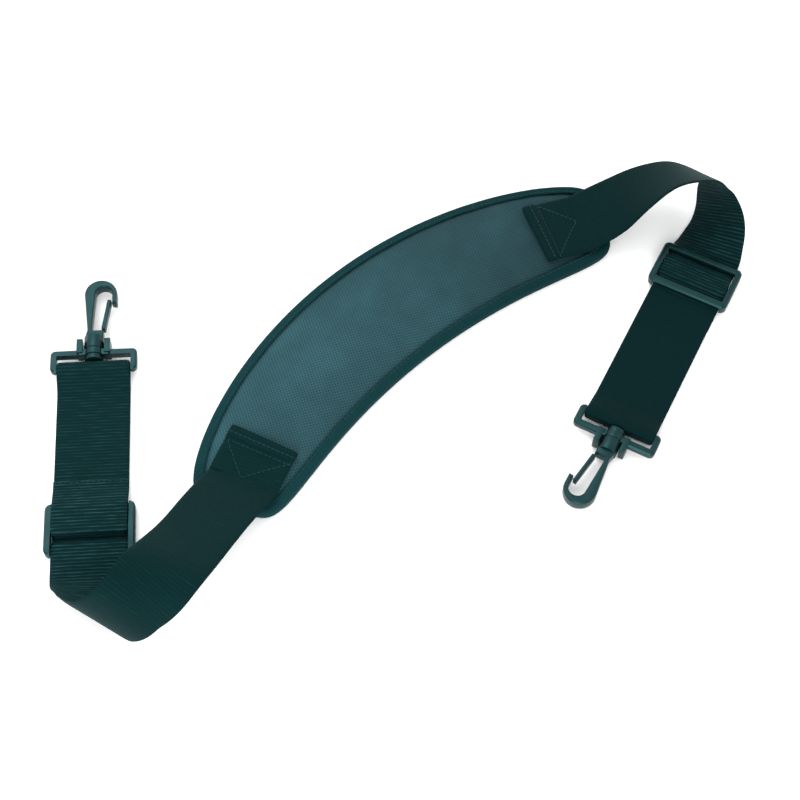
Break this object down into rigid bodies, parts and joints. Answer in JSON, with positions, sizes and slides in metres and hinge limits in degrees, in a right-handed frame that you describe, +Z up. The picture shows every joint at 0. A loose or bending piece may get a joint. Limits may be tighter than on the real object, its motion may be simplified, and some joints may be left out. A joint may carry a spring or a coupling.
{
  "type": "padded shoulder strap",
  "caption": "Padded shoulder strap: crescent pad with bound edge, webbing sewn to both ends, each looped through a slider to a swivelling snap hook.",
  "frame": {"origin": "middle of the strap's footprint, on the table it lies on", "axes": "+Z up from the table, +X to the right and +Y away from the viewer, as the strap lies in the picture"},
  "size_m": [0.37, 0.2928, 0.0556],
  "materials": {
    "pad_fabric": "fine grid weave, matt",
    "binding_tape": "woven tape, matt",
    "webbing": "ribbed webbing, slight sheen",
    "moulded_plastic": "moulded, slight sheen"
  },
  "bodies": {
    "strap": {"pad": "pad_fabric", "pad_binding": "binding_tape", "webbing_left": "webbing", "webbing_right": "webbing", "slider_left": "moulded_plastic", "slider_right": "moulded_plastic", "hook_frame_left": "moulded_plastic", "hook_frame_right": "moulded_plastic"},
    "hook_left": {"snap_hook_left": "moulded_plastic"},
    "gate_left": {"hook_gate_left": "moulded_plastic"},
    "hook_right": {"snap_hook_right": "moulded_plastic"},
    "gate_right": {"hook_gate_right": "moulded_plastic"}
  },
  "joints": [
    {"name": "left_hook_swivel", "type": "hinge", "parent": "strap", "child": "hook_left", "pos_m": [-0.16301, 0.02545, 0.0055], "axis": [-0.0924, 0.9957, 0], "continuous": true},
    {"name": "left_gate", "type": "hinge", "parent": "hook_left", "child": "gate_left", "pos_m": [-0.15899, 0.03526, 0.0055], "axis": [0, 0, 1], "range_deg": [0, 14], "stiffness_Nm_per_rad": 0.02},
    {"name": "right_hook_swivel", "type": "hinge", "parent": "strap", "child": "hook_right", "pos_m": [0.10814, -0.02602, 0.0055], "axis": [-0.4258, -0.9048, 0], "continuous": true},
    {"name": "right_gate", "type": "hinge", "parent": "hook_right", "child": "gate_right", "pos_m": [0.09971, -0.03244, 0.0055], "axis": [0, 0, 1], "range_deg": [0, 14], "stiffness_Nm_per_rad": 0.02}
  ]
}
